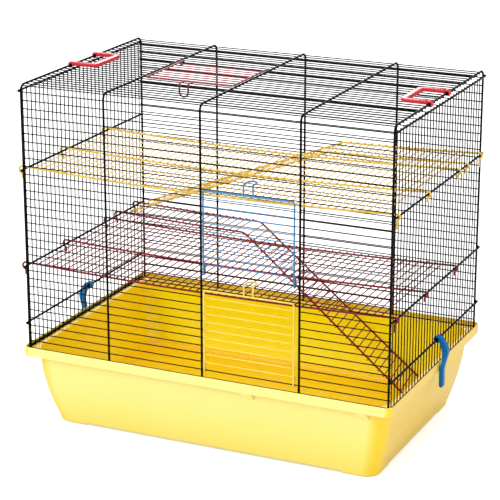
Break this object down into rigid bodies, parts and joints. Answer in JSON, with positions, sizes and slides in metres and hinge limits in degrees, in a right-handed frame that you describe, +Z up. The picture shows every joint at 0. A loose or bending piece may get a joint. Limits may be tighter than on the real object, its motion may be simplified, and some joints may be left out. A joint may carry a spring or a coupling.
{
  "type": "pet cage",
  "caption": "Two-storey wire pet cage on a deep plastic tray, with ramps, hinged front and roof doors, fold-flat handles and side clips.",
  "frame": {"origin": "on the ground under the middle of the tray", "axes": "+X along the length to the right, front with the two doors towards -Y, +Z up"},
  "size_m": [0.5228, 0.33, 0.4508],
  "materials": {
    "tray": "smooth moulded, slightly translucent pale yellow",
    "black_wire": "smooth gloss black coating",
    "yellow_wire": "smooth yellow coating",
    "red_wire": "smooth dark red coating",
    "blue_wire": "smooth light blue coating",
    "pale_wire": "smooth pale yellow coating",
    "scarlet_wire": "smooth red coating",
    "handle": "smooth moulded coral red",
    "clip": "smooth moulded blue"
  },
  "bodies": {
    "tray": {"tray": "tray"},
    "hood": {"front_left_grille": "black_wire", "front_right_grille": "black_wire", "front_top_grille": "black_wire", "front_mid_grille": "black_wire", "front_bottom_grille": "black_wire", "roof_left_grille": "black_wire", "roof_right_grille": "black_wire", "roof_front_grille": "black_wire", "roof_back_grille": "black_wire", "back_grille": "black_wire", "left_side_grille": "black_wire", "right_side_grille": "black_wire", "upper_shelf_deck": "yellow_wire", "upper_shelf_landing": "yellow_wire", "upper_shelf_ramp": "yellow_wire", "lower_shelf_deck": "red_wire", "lower_shelf_landing": "red_wire", "lower_shelf_ramp": "red_wire"},
    "upper_front_door": {"upper_front_door": "blue_wire"},
    "lower_front_door": {"lower_front_door": "pale_wire"},
    "roof_door": {"roof_door": "scarlet_wire"},
    "left_handle": {"left_handle": "handle"},
    "right_handle": {"right_handle": "handle"},
    "left_clip": {"left_clip": "clip"},
    "right_clip": {"right_clip": "clip"}
  },
  "joints": [
    {"name": "hood_lift", "type": "slide", "parent": "tray", "child": "hood", "axis": [0, 0, 1], "range_m": [0, 0.2]},
    {"name": "upper_front_door_hinge", "type": "hinge", "parent": "hood", "child": "upper_front_door", "pos_m": [0.06255, -0.1552, 0.23854], "axis": [1, 0, 0], "range_deg": [0, 130]},
    {"name": "lower_front_door_hinge", "type": "hinge", "parent": "hood", "child": "lower_front_door", "pos_m": [0.06255, -0.1552, 0.11326], "axis": [1, 0, 0], "range_deg": [0, 100]},
    {"name": "roof_door_hinge", "type": "hinge", "parent": "hood", "child": "roof_door", "pos_m": [-0.0645, 0.04698, 0.4441], "axis": [-1, 0, 0], "range_deg": [0, 130]},
    {"name": "left_handle_hinge", "type": "hinge", "parent": "hood", "child": "left_handle", "pos_m": [-0.2434, 0, 0.446], "axis": [0, -1, 0], "range_deg": [0, 175]},
    {"name": "right_handle_hinge", "type": "hinge", "parent": "hood", "child": "right_handle", "pos_m": [0.2434, -0.01044, 0.446], "axis": [0, 1, 0], "range_deg": [0, 175]},
    {"name": "left_clip_hinge", "type": "hinge", "parent": "hood", "child": "left_clip", "pos_m": [-0.2465, 0.00505, 0.1374], "axis": [0, 1, 0], "range_deg": [0, 100]},
    {"name": "right_clip_hinge", "type": "hinge", "parent": "hood", "child": "right_clip", "pos_m": [0.2465, 0.00505, 0.1374], "axis": [0, -1, 0], "range_deg": [0, 100]}
  ]
}
